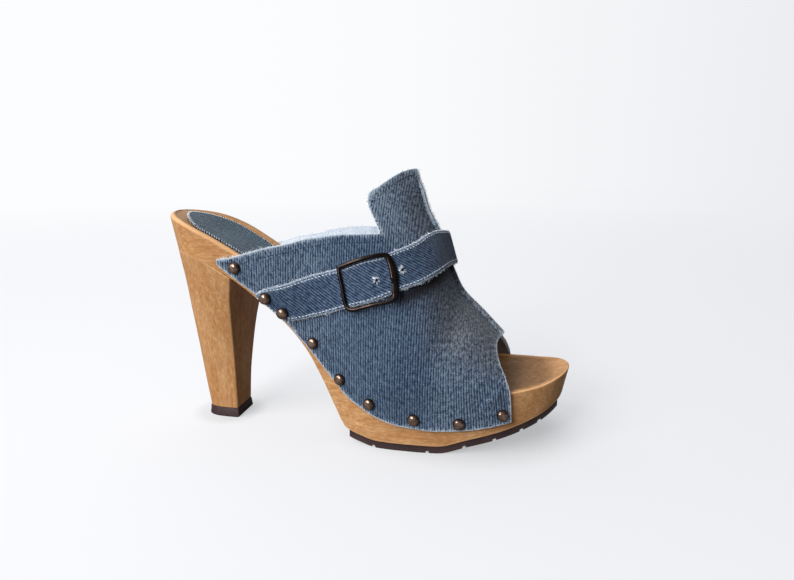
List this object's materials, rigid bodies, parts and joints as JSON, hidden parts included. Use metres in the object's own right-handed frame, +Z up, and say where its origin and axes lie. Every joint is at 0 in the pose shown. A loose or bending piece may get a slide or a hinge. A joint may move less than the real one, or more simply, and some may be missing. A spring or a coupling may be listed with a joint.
{
  "type": "high-heeled wooden clog",
  "caption": "Peep-toe clog mule for the right foot: wooden platform sole and high heel, nailed denim upper with a raised crest seam, tab and buckled strap.",
  "frame": {"origin": "on the floor, at the bottom centre of the shoe's bounding box", "axes": "+X from heel to toe, +Y to the inner (big toe) side, +Z up from the floor"},
  "size_m": [0.2186, 0.0871, 0.14],
  "materials": {
    "wood": "satin lacquer",
    "rubber": "matt",
    "denim": "washed denim",
    "strap_denim": "washed denim",
    "nail_metal": "antique",
    "buckle_metal": "antique dark"
  },
  "bodies": {
    "root": {"wooden_sole": "wood", "heel_block": "wood", "top_lift": "rubber", "outsole": "rubber", "sock_pad": "denim", "upper": "denim", "strap": "strap_denim", "buckle": "buckle_metal", "nail_outer_1": "nail_metal", "nail_outer_2": "nail_metal", "nail_outer_3": "nail_metal", "nail_outer_4": "nail_metal", "nail_outer_5": "nail_metal", "nail_outer_6": "nail_metal", "nail_outer_7": "nail_metal", "nail_outer_8": "nail_metal", "nail_outer_9": "nail_metal", "nail_inner_1": "nail_metal", "nail_inner_2": "nail_metal", "nail_inner_3": "nail_metal", "nail_inner_4": "nail_metal", "nail_inner_5": "nail_metal", "nail_inner_6": "nail_metal", "nail_inner_7": "nail_metal", "nail_inner_8": "nail_metal", "nail_inner_9": "nail_metal"}
  },
  "joints": []
}
